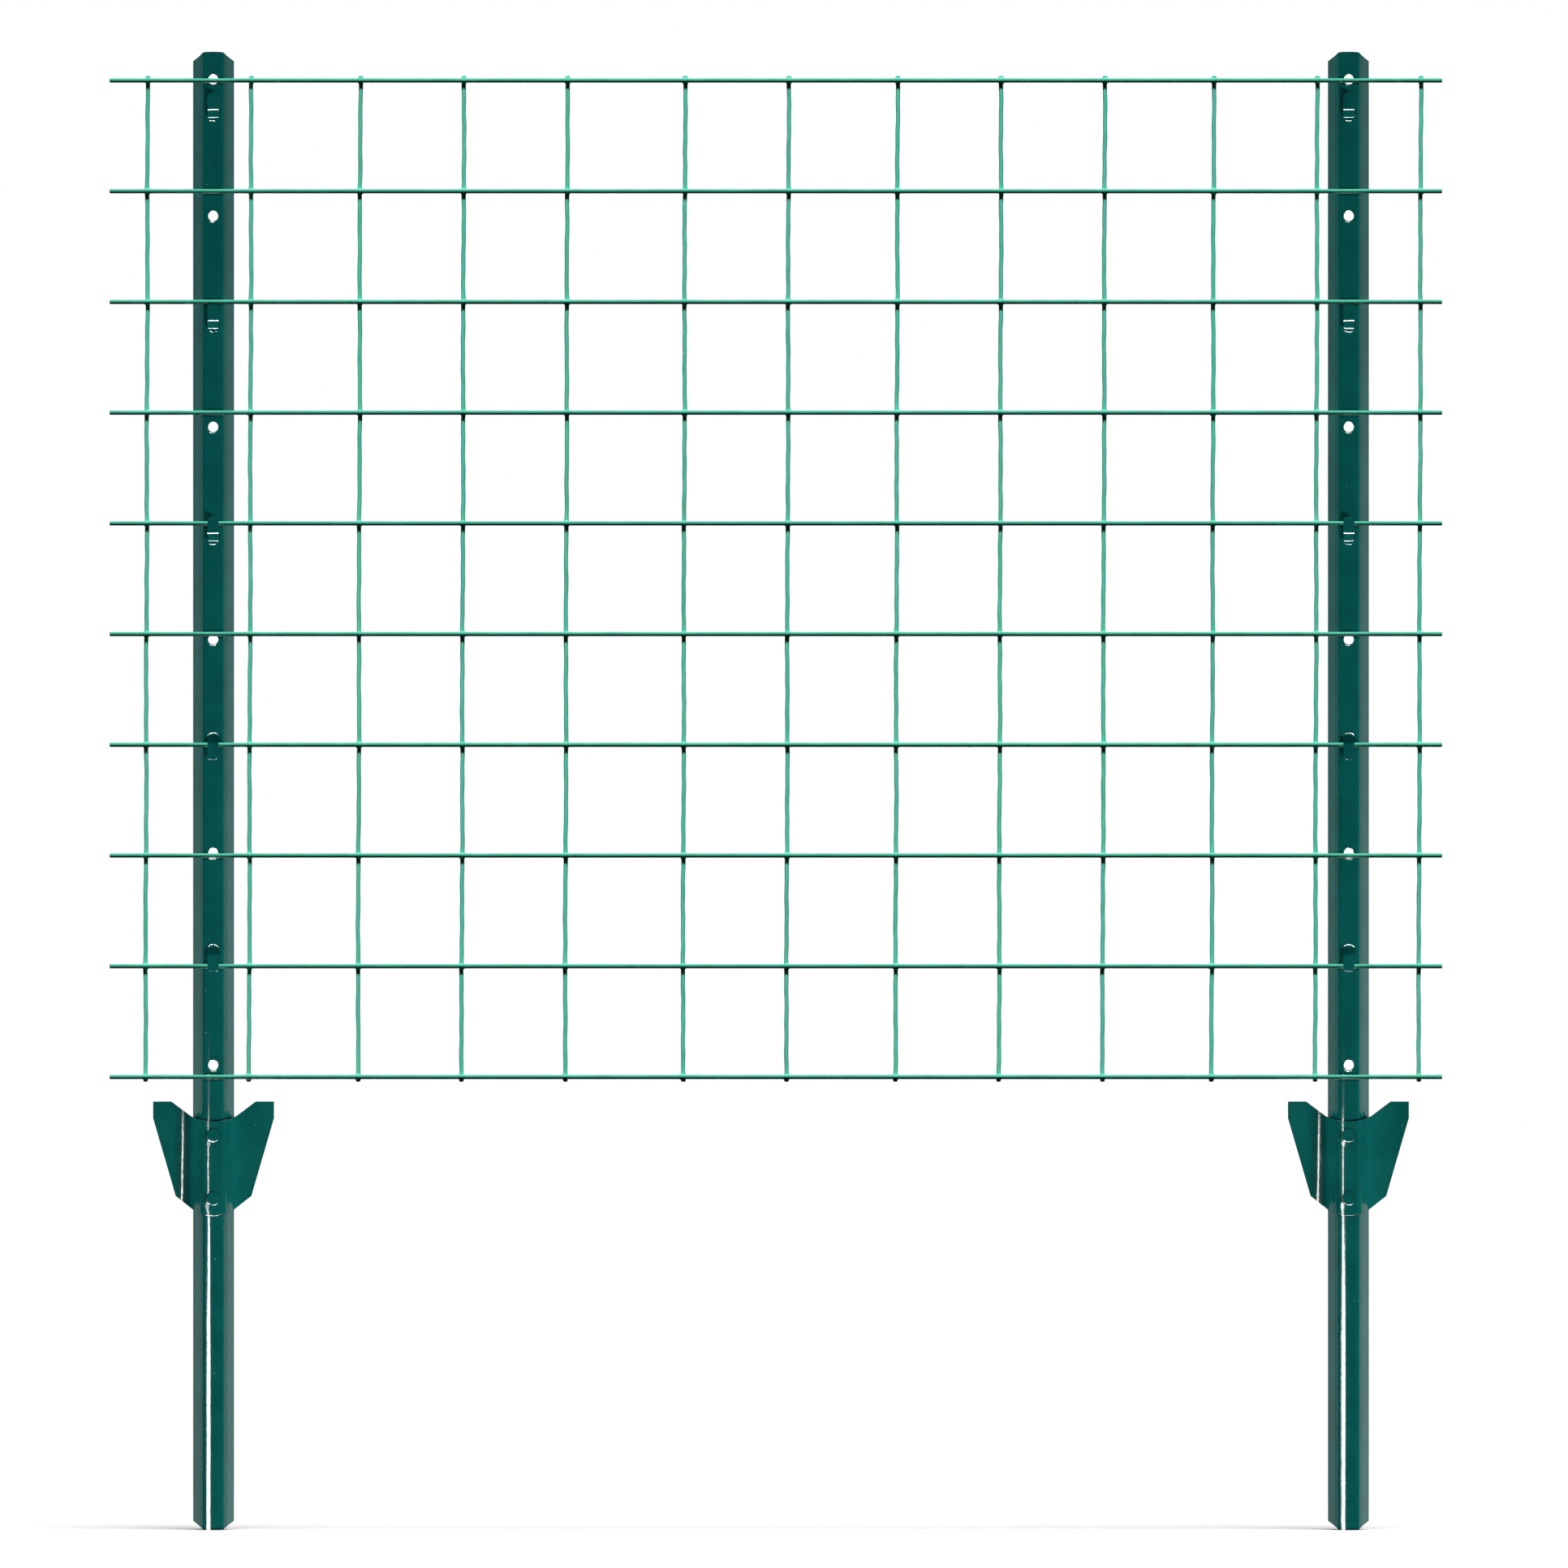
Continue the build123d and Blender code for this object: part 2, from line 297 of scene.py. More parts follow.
# %% Lamps for the posts
strips = {  # lean to the left in degrees, width, lowest and highest point, brightness
    "low": (11.6, 0.132, -0.400, -0.205, 27),
    "taper": (11.8, 0.108, -0.205, -0.165, 27),
    "thin": (11.9, 0.080, -0.165, -0.132, 28),
    "thinnest": (12.0, 0.058, -0.132, -0.1064, 30),
    "plate": (12.5, 0.030, -0.1064, -0.0260, 30),
    "hair": (11.6, 0.010, -0.0260, 0.0350, 6),
}
for side, post_name in zip(("left", "right"), post_names):
    post_x = node_middle(post_name).x
    own = ("metal_" + side,)
    soft_box("main_" + side, (post_x + 2.9, -2.7, -1.4), (post_x, 0, 0.2), (1.0, 1.0), 70,
             own, sheet_metal, mirrored=False)
    soft_box("fill_" + side, (post_x - 0.9, -3.6, -1.6), (post_x, 0, 0.2), (1.0, 1.0), 7,
             own, sheet_metal)
    for label, (lean, width, bottom, top, brightness) in strips.items():
        middle = (bottom + top) / 2
        soft_box("_".join(("strip", label, side)),
                 (post_x - math.tan(math.radians(lean)), -1.0, middle), (post_x, 0, middle),
                 (width, top - bottom), brightness, own, sheet_metal, lighting=False)
    soft_box("spark_" + side, (post_x - 1.4, -2.4, -1.6), (post_x, 0, 0.3), (0.35, 0.35), 1200,
             own, sheet_metal, lighting=False)
    soft_box("ledge_" + side, (post_x, -1.6, -1.5), (post_x, 0, 0), (2.4, 0.25), 500,
             own, sheet_metal, lighting=False)
sun_from("left_flanks", (-1, -0.09, 0.1), 2.8, 4, sheet_metal, sheet_metal, mirrored=False)
sun_from("right_flanks", (1, -0.09, 0.1), 0.3, 4, sheet_metal, sheet_metal, mirrored=False)
sun_from("behind_posts", (-0.35, 1, 0.5), 3.6, 40, sheet_metal, sheet_metal, mirrored=False)
sun_from("behind_right", (0.5, 1, 0.1), 1.6, 30, sheet_metal, sheet_metal, mirrored=False)

# %% [markdown]
# The mesh is lit from above: almost straight down for the line wires, so their undersides
# stay dark, and from the front at a steep angle for the stays behind them, so that each line
# wire shades the stay just under it.

# %% Lamps for the mesh and the floor
sun_from("over_line_wires", (0, -0.30, 0.95), 3.7, 12, ("line_wires",), ("line_wires",),
         mirrored=False)
sun_from("over_stays", (0, -0.47, 0.88), 4.8, 6, ("stay_wires",),
         ("line_wires", "stay_wires"))
sun_from("behind_mesh", (0, 1, 0.4), 3.2, 20, ("line_wires", "stay_wires"), None, False)
sun_from("over_floor", (0.1, -0.2, 1), 4.2, 25, ("floor",))

# %% [markdown]
# ## Card behind
# The posts' slanted flanks mirror what stands far behind the section, to the left and right.
# A wide pale card there gives them their grey sheen. It is brighter near the floor, so the
# sheen fades towards the top, brighter to the right than to the left, and black in the middle,
# so that the flanges' rounded edges draw thin dark lines. It shows only in reflections.

# %% Card that the flanks mirror
card_mesh = bpy.data.meshes.new("card")
card_half, card_y, card_low, card_high = 9.0, 6.0, -1.2, 1.6
card_mesh.from_pydata(
    [(-card_half, card_y, card_low), (card_half, card_y, card_low),
     (card_half, card_y, card_high), (-card_half, card_y, card_high)], [], [(0, 1, 2, 3)])
card = bpy.data.objects.new("card", card_mesh)
scene.collection.objects.link(card)
card.visible_camera = False
card.visible_diffuse = False
card.visible_shadow = False
card_paint = bpy.data.materials.new("card_glow")
card_paint.use_nodes = True
tree = card_paint.node_tree
tree.nodes.clear()
place = add_node(tree, "ShaderNodeTexCoord")
parts = add_node(tree, "ShaderNodeSeparateXYZ", links={0: place.outputs["Object"]})
fade = add_node(tree, "ShaderNodeMapRange",
                {"From Min": -0.35, "From Max": 0.85, "To Min": 1.0, "To Max": 0.40},
                {"Value": parts.outputs["Z"]})
outwards = add_node(tree, "ShaderNodeMapRange",
                    {"From Min": 3.2, "From Max": 8.0, "To Min": 0.0, "To Max": 0.75},
                    {"Value": math_node(tree, "ABSOLUTE", parts.outputs["X"])})
sideways = add_node(tree, "ShaderNodeMapRange",
                    {"From Min": -1.0, "From Max": 1.0, "To Min": 0.70, "To Max": 1.15},
                    {"Value": parts.outputs["X"]})
glow = math_node(tree, "MULTIPLY", math_node(tree, "MULTIPLY", fade.outputs[0], outwards.outputs[0]),
                 sideways.outputs[0])
lamp_face = add_node(tree, "ShaderNodeEmission", links={"Strength": glow})
add_node(tree, "ShaderNodeOutputMaterial", links={"Surface": lamp_face.outputs[0]})
card_mesh.materials.append(card_paint)

# %% [markdown]
# ## Enamel
# The posts, plates and rivets were dipped in a dark blue-green gloss enamel. Close up, such
# a coat isn't flat: it has a fine orange peel, slow waves where it ran, cloudy depth, a few
# specks of dust and pale worn lines where it is thin on sheared edges.
# All of it is worked out from Object coordinates, so it stays put on the metal.
# The Bevel node finds the edges: near one, its rounded normal turns away from the true one.

# %% Enamel for sheet metal


def enamel(name, deep, bright, wear):
    """Gloss enamel between two shades; wear is how strongly its edges have paled."""
    material, tree, shader = new_material(name)
    place = add_node(tree, "ShaderNodeTexCoord").outputs["Object"]

    clouds = add_node(tree, "ShaderNodeTexNoise", {"Scale": 38, "Detail": 3, "Roughness": 0.55},
                      {"Vector": place})
    grain = add_node(tree, "ShaderNodeTexNoise", {"Scale": 1300, "Detail": 2, "Roughness": 0.6},
                     {"Vector": place})
    blend = math_node(tree, "ADD", math_node(tree, "MULTIPLY", clouds.outputs[0], 0.75),
                      math_node(tree, "MULTIPLY", grain.outputs[0], 0.25))
    shade = add_node(tree, "ShaderNodeMapRange", {"From Min": 0.36, "From Max": 0.64},
                     {"Value": blend})
    colour = mix_colour(tree, shade.outputs[0], deep, bright)

    # Dust: rare small dots, one to a Voronoi cell, kept only in a few cells.
    cells = add_node(tree, "ShaderNodeTexVoronoi", {"Scale": 150, "Randomness": 1.0},
                     {"Vector": place})
    near_centre = math_node(tree, "LESS_THAN", cells.outputs["Distance"], 0.052)
    lot = add_node(tree, "ShaderNodeSeparateXYZ", links={0: cells.outputs["Color"]})
    drawn = math_node(tree, "GREATER_THAN", lot.outputs[0], 0.86)
    speck = math_node(tree, "MULTIPLY", near_centre, drawn)
    colour = mix_colour(tree, math_node(tree, "MULTIPLY", speck, 0.55), colour,
                        (0.22, 0.42, 0.40, 1))

    # Worn edges, broken up by a patchy noise.
    rounded = add_node(tree, "ShaderNodeBevel", {"Radius": 0.35 * MM}, samples=6)
    flat = add_node(tree, "ShaderNodeNewGeometry")
    match = add_node(tree, "ShaderNodeVectorMath", operation="DOT_PRODUCT",
                     links={0: rounded.outputs[0], 1: flat.outputs["Normal"]})
    edge = add_node(tree, "ShaderNodeMapRange", {"From Min": 0.97, "From Max": 0.80},
                    {"Value": match.outputs["Value"]})
    patches = add_node(tree, "ShaderNodeTexNoise", {"Scale": 170, "Detail": 3}, {"Vector": place})
    patchy = add_node(tree, "ShaderNodeMapRange", {"From Min": 0.47, "From Max": 0.62},
                      {"Value": patches.outputs[0]})
    worn = math_node(tree, "MULTIPLY", edge.outputs[0], patchy.outputs[0])
    worn = math_node(tree, "MULTIPLY", worn, wear)
    colour = mix_colour(tree, worn, colour, (0.34, 0.46, 0.44, 1))

    # Painted shade: where two pieces meet, an ambient occlusion mask darkens the colour nearly to
    # black, standing in for the shadow in the corner.
    corner = add_node(tree, "ShaderNodeAmbientOcclusion", {"Distance": 4.0 * MM}, samples=8)
    unshaded_share = add_node(tree, "ShaderNodeMapRange", {"From Min": 0.60, "From Max": 0.88},
                          {"Value": corner.outputs["AO"]})
    colour = mix_colour(tree, unshaded_share.outputs[0], (0.0005, 0.012, 0.011, 1), colour)
    tree.links.new(colour, shader.inputs["Base Color"])

    gloss = add_node(tree, "ShaderNodeMapRange", {"To Min": 0.05, "To Max": 0.08},
                     {"Value": clouds.outputs[0]})
    rough = math_node(tree, "ADD", gloss.outputs[0],
                      math_node(tree, "MULTIPLY", math_node(tree, "MAXIMUM", speck, worn), 0.35))
    tree.links.new(rough, shader.inputs["Roughness"])
    shader.inputs["IOR"].default_value = 1.5

    peel = add_node(tree, "ShaderNodeTexNoise", {"Scale": 620, "Detail": 2, "Roughness": 0.5},
                    {"Vector": place})
    run = add_node(tree, "ShaderNodeTexNoise", {"Scale": 55, "Detail": 1}, {"Vector": place})
    surface = math_node(tree, "ADD", math_node(tree, "MULTIPLY", peel.outputs[0], 0.016),
                        math_node(tree, "MULTIPLY", run.outputs[0], 0.05))
    surface = math_node(tree, "ADD", surface, math_node(tree, "MULTIPLY", speck, 0.03))
    bump = add_node(tree, "ShaderNodeBump", {"Strength": 1.0, "Distance": MM},
                    {"Height": surface})
    tree.links.new(bump.outputs[0], shader.inputs["Normal"])
    return material


post_enamel = enamel("post_enamel_gloss", (0.0014, 0.068, 0.062, 1), (0.0022, 0.088, 0.079, 1), 0.25)
plate_enamel = enamel("plate_enamel_gloss", (0.0016, 0.072, 0.065, 1), (0.003, 0.094, 0.084, 1), 0.8)
rivet_enamel = enamel("rivet_enamel_gloss", (0.0018, 0.076, 0.068, 1), (0.003, 0.094, 0.084, 1), 0.3)
for names, finish in ((post_names, post_enamel), (plate_names, plate_enamel),
                      (rivet_names, rivet_enamel)):
    for name in names:
        nodes[name].material_slots[0].material = finish
print("enamel on", len(post_names + plate_names + rivet_names), "packed pieces")

# %% [markdown]
# ## Where the enamel gathers
# A dipped coat isn't even: it draws back from flat faces and gathers in a rounded bead along
# every sheared or punched edge, and where the post hung to dry it ran and left drops. These
# beads catch the light and make sheet metal look painted. Each one is a small oval section
# carried along a line that lies on the metal, with its lower half sunk into it.
# The metal's face is gently convex, so a line on it needs the face's depth and its direction
# at each point. Two small functions give them.

# %% Convex faces, and a bead along a line
post_curve = 40.0 * MM  # radius of a post's front face
plate_skin = 1.9 * MM  # plate's front face before the post's
plate_curve = post_curve + plate_skin


def face_depth(across, curve=post_curve, crest=0.0):
    """Depth y = crest + curve - root(curve squared - across squared), the face's fall."""
    return crest + curve - np.sqrt(curve ** 2 - across ** 2)


def face_direction(across, curve=post_curve):
    """Direction out of that face: across / curve to the side, the rest forwards."""
    lean = across / curve
    return np.stack([lean, -np.sqrt(1 - lean ** 2), 0 * lean], -1)


def bead(line, outwards, across, above, sides=10, closed=False):
    """Point = line + across x cos a x side + above x sin a x outwards, for a once round.

    side is square to the line and to outwards. An open line's two ends become poles.
    Gives the points and the faces."""
    if closed:
        forward = np.roll(line, -1, 0) - np.roll(line, 1, 0)
    else:
        forward = np.gradient(line, axis=0)
    side = np.cross(forward, outwards)
    side /= np.linalg.norm(side, axis=1, keepdims=True)
    rise = np.cross(side, forward)
    rise /= np.linalg.norm(rise, axis=1, keepdims=True)
    turn = np.linspace(0, 2 * np.pi, sides, endpoint=False)
    across = np.broadcast_to(across, len(line))[:, None, None]
    above = np.broadcast_to(above, len(line))[:, None, None]
    rings = (line[:, None] + across * np.cos(turn)[:, None] * side[:, None]
             + above * np.sin(turn)[:, None] * rise[:, None])
    if not closed:
        rings = rings[1:-1]
    count = len(rings)
    row, column = np.meshgrid(np.arange(count if closed else count - 1), np.arange(sides),
                              indexing="ij")
    next_row, next_column = (row + 1) % count, (column + 1) % sides
    quads = np.stack([row * sides + column, next_row * sides + column,
                      next_row * sides + next_column, row * sides + next_column], -1)
    points, faces = rings.reshape(-1, 3), quads.reshape(-1, 4).tolist()
    if not closed:
        points = np.vstack([points, line[:1], line[-1:]])
        around = np.arange(sides)
        first, last = np.full(sides, count * sides), np.full(sides, count * sides + 1)
        end = (count - 1) * sides
        faces += np.stack([first, around, (around + 1) % sides], -1).tolist()
        faces += np.stack([last, end + (around + 1) % sides, end + around], -1).tolist()
    return points, faces


def enamel_piece(name, shapes, material, side):
    """One piece from several (points, faces), lit as the metal of its side."""
    starts = np.cumsum([0] + [len(points) for points, _ in shapes])
    faces = [[corner + start for corner in face]
             for (_, group), start in zip(shapes, starts.tolist()) for face in group]
    mesh = bpy.data.meshes.new(name)
    mesh.from_pydata(np.vstack([points for points, _ in shapes]).tolist(), [], faces)
    mesh.polygons.foreach_set("use_smooth", np.ones(len(faces), bool))
    mesh.materials.append(material)
    mesh.update()
    piece = bpy.data.objects.new(name, mesh)
    scene.collection.objects.link(piece)
    groups["metal_" + side].objects.link(piece)
    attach(piece, "root")
    return piece


def swell(count, share=0.25):
    """Widths along an open bead: 0 at both ends, 1 over the middle, rounded between."""
    along = np.linspace(0, 1, count)
    rest = np.clip(np.minimum(along, 1 - along) / share, 0, 1)
    return np.sqrt(1 - (1 - rest) ** 2)


# %% [markdown]
# ### Round the punched holes
# Each post has six round holes. The bead round a hole is closed, and a little higher on its
# lower side. Under the lowest hole a short run hangs from the rim.

# %% Beads round the holes
post_middles = {side: node_middle(name).x for side, name in zip(("left", "right"), post_names)}
hole_heights = np.array([30.1, 204.8, 381.1, 556.4, 730.4, 843.0]) * MM
hole_radius = 4.2 * MM


def hole_bead(post_x, hole_z):
    """A ring just outside hole_radius, laid on the convex face."""
    turn = np.linspace(0, 2 * np.pi, 48, endpoint=False)
    reach = hole_radius + 0.55 * MM
    aside = reach * np.cos(turn)
    line = np.stack([post_x + aside, face_depth(aside), hole_z + reach * np.sin(turn)], -1)
    height = (0.27 - 0.07 * np.sin(turn + 0.5)) * MM
    return bead(line, face_direction(aside), 0.60 * MM, height, closed=True)


def run_down(post_x, aside, top_z, length, width, curve=post_curve, crest=0.0):
    """A run of enamel: a bead straight down that widens towards its lower end."""
    along = np.linspace(0, 1, 22)
    wander = aside - 0.35 * MM * np.sin(2.2 * along)
    line = np.stack([post_x + wander, face_depth(wander, curve, crest), top_z - length * along], -1)
    widths = width * swell(22, 0.2) * (0.55 + 0.45 * along)
    return bead(line, face_direction(wander, curve), widths, widths * 0.42)


for side, post_x in post_middles.items():
    shapes = [hole_bead(post_x, hole_z) for hole_z in hole_heights]
    shapes.append(run_down(post_x, -3.7 * MM, hole_heights[0] - 2.6 * MM, 5.6 * MM, 0.85 * MM))
    enamel_piece("hole_beads_" + side, shapes, post_enamel, side)
print(len(hole_heights), "holes with beads on each post")

# %% [markdown]
# ### On the hook tabs
# A hook tab is cut on three sides and bent out. Its sheared rim carries a bead that follows the
# bend, and the sheet bulges under the root in a small U. The rim's line is drawn flat, as
# distance across and distance along the tab, and then laid over the tab's bent face.

# %% Lines with rounded corners


def rounded_line(corners, radii, steps=8):
    """The corners joined by straight runs, with an arc of the given radius at each inner one."""
    corners = np.array(corners, float)
    pieces = [corners[:1]]
    for before, corner, after, radius in zip(corners, corners[1:], corners[2:], radii):
        into = (corner - before) / np.linalg.norm(corner - before)
        out = (after - corner) / np.linalg.norm(after - corner)
        half_turn = math.acos(float(np.clip(into @ out, -1, 1))) / 2
        bisector = (out - into) / np.linalg.norm(out - into)
        centre = corner + bisector * radius / math.cos(half_turn)
        share = np.linspace(-half_turn, half_turn, steps)[:, None]
        along = (into + out) / np.linalg.norm(into + out)
        pieces.append(centre + radius * (np.sin(share) * along - np.cos(share) * bisector))
    pieces.append(corners[-1:])
    return np.vstack(pieces)


def evenly(line, gap):
    """The same line with points about one gap apart."""
    lengths = np.concatenate([[0], np.cumsum(np.linalg.norm(np.diff(line, axis=0), axis=1))])
    wanted = np.linspace(0, lengths[-1], int(lengths[-1] / gap) + 2)
    return np.stack([np.interp(wanted, lengths, column) for column in line.T], -1)


# %% Rims and root bulges of the hooks
hook_heights = np.array([821.7, 647.7, 472.4, 292.2, 117.5]) * MM
tips_up = (True, True, True, False, False)
tab_half, tab_reach, tab_tip = 4.35 * MM, 20.0 * MM, 3.2 * MM
rim_size = 0.27 * MM
tab_front = -5.55 * MM
bent_face = evenly(rounded_line([(0, -10 * MM), (tab_front, -3.5 * MM), (tab_front, 10 * MM)],
                                [2.8 * MM]), 0.25 * MM)
face_lengths = np.concatenate([[0], np.cumsum(np.linalg.norm(np.diff(bent_face, axis=0), axis=1))])
face_slope = np.gradient(bent_face, face_lengths, axis=0)
tab_length = face_lengths[-1]


def hook_rim(post_x, hook_z, way):
    """The tab's outline, up one side, round the tip and down the other, on its bent face."""
    outline = evenly(rounded_line(
        [(-tab_half, 0.4 * MM), (-tab_half, tab_length), (tab_half, tab_length),
         (tab_half, 0.4 * MM)], [tab_tip, tab_tip]), 0.45 * MM)
    depth = np.interp(outline[:, 1], face_lengths, bent_face[:, 0])
    height = np.interp(outline[:, 1], face_lengths, bent_face[:, 1])
    back = np.interp(outline[:, 1], face_lengths, face_slope[:, 0])
    up = np.interp(outline[:, 1], face_lengths, face_slope[:, 1])
    outwards = np.stack([0 * up, -up, back * way], -1)
    line = np.stack([post_x + outline[:, 0] * way, depth, hook_z + height * way], -1)
    width = rim_size * swell(len(line), 0.04)
    return bead(line - rim_size * outwards, outwards, width, width)


def root_bulge(post_x, hook_z, way):
    """A U below the tab's root: x = reach x cos a, z = drop x sin a, over the lower half."""
    turn = np.linspace(0.97 * np.pi, 2.03 * np.pi, 34)
    aside = 4.5 * MM * np.cos(turn) * way
    height = (-9.6 + 2.9 * np.sin(turn)) * MM * way
    line = np.stack([post_x + aside, face_depth(aside), hook_z + height], -1)
    width = swell(34, 0.3)
    return bead(line, face_direction(aside), 0.62 * MM * width, 0.24 * MM * width)


for side, post_x in post_middles.items():
    shapes = []
    for hook_z, up in zip(hook_heights, tips_up):
        way = 1 if up else -1
        shapes += [hook_rim(post_x, hook_z, way), root_bulge(post_x, hook_z, way)]
    enamel_piece("hook_beads_" + side, shapes, post_enamel, side)
print(len(hook_heights), "hooks with beads on each post, tab", round(tab_length, 4), "m long")

# %% [markdown]
# ### In the slits
# The punch leaves a slit round each tab. Enamel bridges it, so one never sees daylight there.
# A thin lip along the window's wall stands for that skin.

# %% Lips in the hook windows


def window_lip(post_x, hook_z, way):
    """A bead along the window's wall, half-way through the sheet."""
    reach = tab_half + 0.14 * MM
    outline = evenly(rounded_line(
        [(-reach, -9.9 * MM), (-reach, 10.14 * MM), (reach, 10.14 * MM), (reach, -9.9 * MM)],
        [tab_tip, tab_tip]), 0.6 * MM)
    aside = outline[:, 0] * way
    depth = face_depth(aside) + 0.9 * MM
    line = np.stack([post_x + aside, depth, hook_z + outline[:, 1] * way], -1)
    return bead(line, face_direction(aside), 0.34 * MM, 0.30 * MM, 8)


for side, post_x in post_middles.items():
    shapes = [window_lip(post_x, hook_z, 1 if up else -1)
              for hook_z, up in zip(hook_heights, tips_up)]
    enamel_piece("window_lips_" + side, shapes, post_enamel, side)
print("lips in", len(hook_heights), "windows of each post")

# %% [markdown]
# ### Along the flanges
# The rear edges of a post are sheared strip edges. The bead along each is long and straight,
# and because it is round it mirrors the dark middle of the room: a thin dark outline.

# %% Beads along the flanges
flange_half, flange_back = 16.9 * MM, 20.0 * MM
end_rake = 7.4 * MM
post_low, post_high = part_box(post_names[0])
for side, post_x in post_middles.items():
    shapes = []
    for hand in (-1, 1):
        height = np.linspace(post_low.z + end_rake + 0.2 * MM, post_high.z - end_rake - 0.2 * MM, 60)
        line = np.stack([np.full(60, post_x + hand * (flange_half - 0.42 * MM)),
                         np.full(60, flange_back - 0.05 * MM), height], -1)
        outwards = np.tile((hand * 0.894, -0.447, 0.0), (60, 1))
        shapes.append(bead(line, outwards, 0.45 * MM, 0.45 * MM, 12))
    enamel_piece("flange_beads_" + side, shapes, post_enamel, side)
print("flange beads", round(float(height[-1] - height[0]), 4), "m long")

# %% [markdown]
# ### Pools beside the rivets
# Enamel pools at the lower left of each rivet head and runs on down the plate. A pool has a
# flat top with a steep rounded border, so it mirrors a strip lamp all at once, as a white
# pointed patch, where the convex plate shows only a line. It is a grid in rings round a middle.

# %% Pools and the plate's lower edge
rivet_drops = {"upper": (-27.8, -4.2, 6.6, 9.4, 2.5), "lower": (-79.9, -5.2, 6.3, 9.8, 2.5)}


def pool(post_x, aside, middle_z, length, half_width, height):
    """Point = middle + r x outline; height x (1 - r to the power 12) above the leaning face."""
    turn = np.linspace(0, 2 * np.pi, 40, endpoint=False)
    rings = np.array([0.3, 0.55, 0.7, 0.8, 0.87, 0.92, 0.96, 0.985, 1.0])[:, None]
    across = rings * half_width * np.sin(turn) * np.abs(np.sin(turn)) ** 0.4
    along = rings * length / 2 * np.cos(turn)
    slope = -math.tan(math.radians(strips["plate"][0] / 2))  # turned to mirror the strip
    sunk = 0.12 * MM
    lift = height - (height + sunk) * rings ** 12 + 0 * across
    base = face_depth(aside, plate_curve, -plate_skin)
    grid = np.stack([post_x + aside + across, base + slope * across - lift, middle_z + along], -1)
    top = np.array([[post_x + aside, base - height, middle_z]])
    under = np.array([[post_x + aside, base + 0.5 * MM, middle_z]])
    count, sides = len(rings), len(turn)
    row, column = np.meshgrid(np.arange(count - 1), np.arange(sides), indexing="ij")
    following = (column + 1) % sides
    quads = np.stack([row * sides + column, row * sides + following,
                      (row + 1) * sides + following, (row + 1) * sides + column], -1)
    around, last = np.arange(sides), (count - 1) * sides
    first_cap = np.stack([np.full(sides, count * sides), (around + 1) % sides, around], -1)
    last_cap = np.stack([np.full(sides, count * sides + 1), last + around,
                         last + (around + 1) % sides], -1)
    return (np.vstack([grid.reshape(-1, 3), top, under]),
            quads.reshape(-1, 4).tolist() + first_cap.tolist() + last_cap.tolist())


def belly_bead(post_x):
    """Along the plate's lower edge, over the convex face: z rises with the square of x."""
    aside = np.linspace(-8.0, 8.0, 40) * MM
    height = -94.0 * MM + 4.6 * MM * (aside / (16.8 * MM)) ** 2 + 0.3 * MM
    depth = face_depth(aside, plate_curve, -plate_skin) + 0.2 * MM
    line = np.stack([post_x + aside, depth, height], -1)
    width = swell(40, 0.2)
    return bead(line, face_direction(aside, plate_curve), 0.34 * MM * width, 0.34 * MM * width)


for side, post_x in post_middles.items():
    shapes = [belly_bead(post_x)]
    for rivet_z, aside, drop, length, half_width in rivet_drops.values():
        shapes.append(pool(post_x, aside * MM, (rivet_z - drop) * MM, length * MM,
                           half_width * MM, 0.10 * MM))
    enamel_piece("plate_drops_" + side, shapes, plate_enamel, side)
print(len(rivet_drops), "pools on each plate")

# %% [markdown]
# ## Vinyl coat
# The mesh is steel wire in a light mint-green vinyl coat. The coat is drawn on through a die,
# which leaves faint lines along the wire. So the noise is stretched: slow along the wire, fast
# across it. A Mapping node does the stretching, one setting for each direction of wire.
# Where a wire is cut, the zinc-coated core shows, so each wire has a second material.

# %% Vinyl coat and cut steel


def vinyl(name, stretch, pale, dark):
    """Half-gloss vinyl whose fine lines run along the axis with the small stretch value."""
    material, tree, shader = new_material(name)
    place = add_node(tree, "ShaderNodeTexCoord").outputs["Object"]
    along = add_node(tree, "ShaderNodeMapping", {"Scale": stretch}, {"Vector": place})
    lines = add_node(tree, "ShaderNodeTexNoise", {"Scale": 1.0, "Detail": 2, "Roughness": 0.5},
                     {"Vector": along.outputs[0]})
    clouds = add_node(tree, "ShaderNodeTexNoise", {"Scale": 45, "Detail": 3}, {"Vector": place})
    blend = math_node(tree, "ADD", math_node(tree, "MULTIPLY", lines.outputs[0], 0.4),
                      math_node(tree, "MULTIPLY", clouds.outputs[0], 0.6))
    shade = add_node(tree, "ShaderNodeMapRange", {"From Min": 0.36, "From Max": 0.62},
                     {"Value": blend})
    tree.links.new(mix_colour(tree, shade.outputs[0], dark, pale), shader.inputs["Base Color"])
    gloss = add_node(tree, "ShaderNodeMapRange", {"To Min": 0.30, "To Max": 0.46},
                     {"Value": lines.outputs[0]})
    tree.links.new(gloss.outputs[0], shader.inputs["Roughness"])
    shader.inputs["IOR"].default_value = 1.46
    dimples = add_node(tree, "ShaderNodeTexNoise", {"Scale": 900, "Detail": 2}, {"Vector": place})
    surface = math_node(tree, "ADD", math_node(tree, "MULTIPLY", lines.outputs[0], 0.04),
                        math_node(tree, "MULTIPLY", dimples.outputs[0], 0.02))
    bump = add_node(tree, "ShaderNodeBump", {"Strength": 1.0, "Distance": MM},
                    {"Height": surface})
    tree.links.new(bump.outputs[0], shader.inputs["Normal"])
    return material


